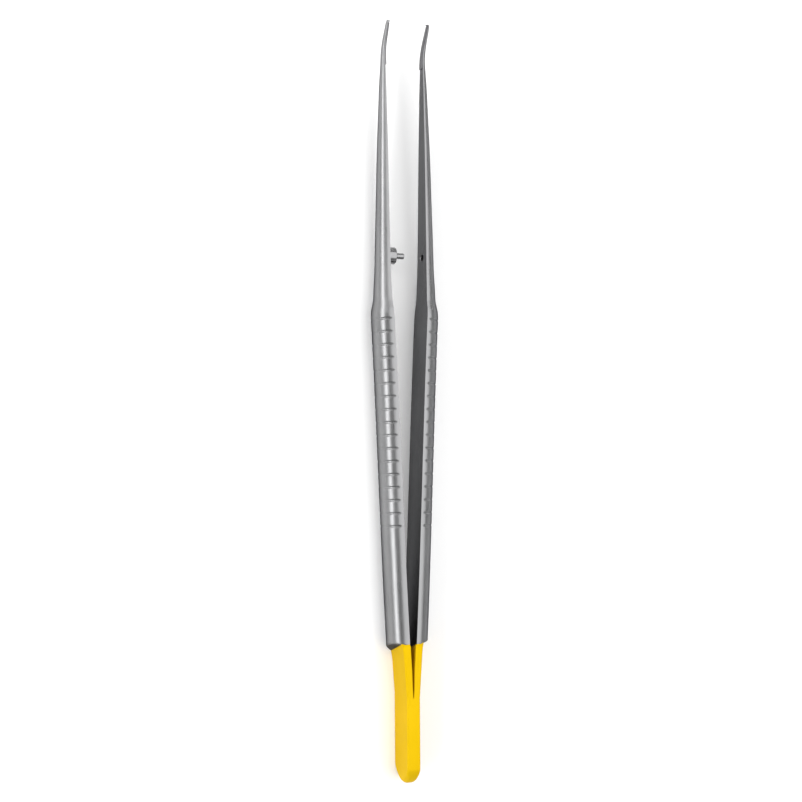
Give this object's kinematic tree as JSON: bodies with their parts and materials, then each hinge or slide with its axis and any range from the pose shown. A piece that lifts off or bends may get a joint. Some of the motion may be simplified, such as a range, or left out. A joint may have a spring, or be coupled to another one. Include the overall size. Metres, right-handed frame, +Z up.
{
  "type": "micro tissue forceps",
  "caption": "Slim spring forceps with half round grooved handles, tapered shanks and bent fine tips with hard toothed inserts; the arms are welded at a gold plated tail.",
  "frame": {"origin": "middle of the footprint, on the surface that the forceps lies on", "axes": "+Y along the instrument, from the butt to the tips; X is the way the jaws open; +Z is up, the way the tips bend"},
  "size_m": [0.0166, 0.1802, 0.0083],
  "materials": {
    "gold_plating": "satin gold plating on steel",
    "satin_steel": "satin stainless steel, finely brushed along the arm",
    "pin_steel": "turned stainless steel",
    "hard_insert": "dark hard metal with a fine cross cut"
  },
  "bodies": {
    "tail": {"welded_tail": "gold_plating"},
    "left_arm": {"left_arm": "satin_steel", "guide_pin": "pin_steel", "left_tip_insert": "hard_insert"},
    "right_arm": {"right_arm": "satin_steel", "right_tip_insert": "hard_insert"}
  },
  "joints": [
    {"name": "left_squeeze", "type": "hinge", "parent": "tail", "child": "left_arm", "pos_m": [0, -0.06968, 0.00415], "axis": [0, 0, -1], "range_deg": [0, 1.72], "stiffness_Nm_per_rad": 3.75},
    {"name": "right_squeeze", "type": "hinge", "parent": "tail", "child": "right_arm", "pos_m": [0, -0.06968, 0.00415], "axis": [0, 0, 1], "range_deg": [0, 1.72], "stiffness_Nm_per_rad": 3.75}
  ]
}
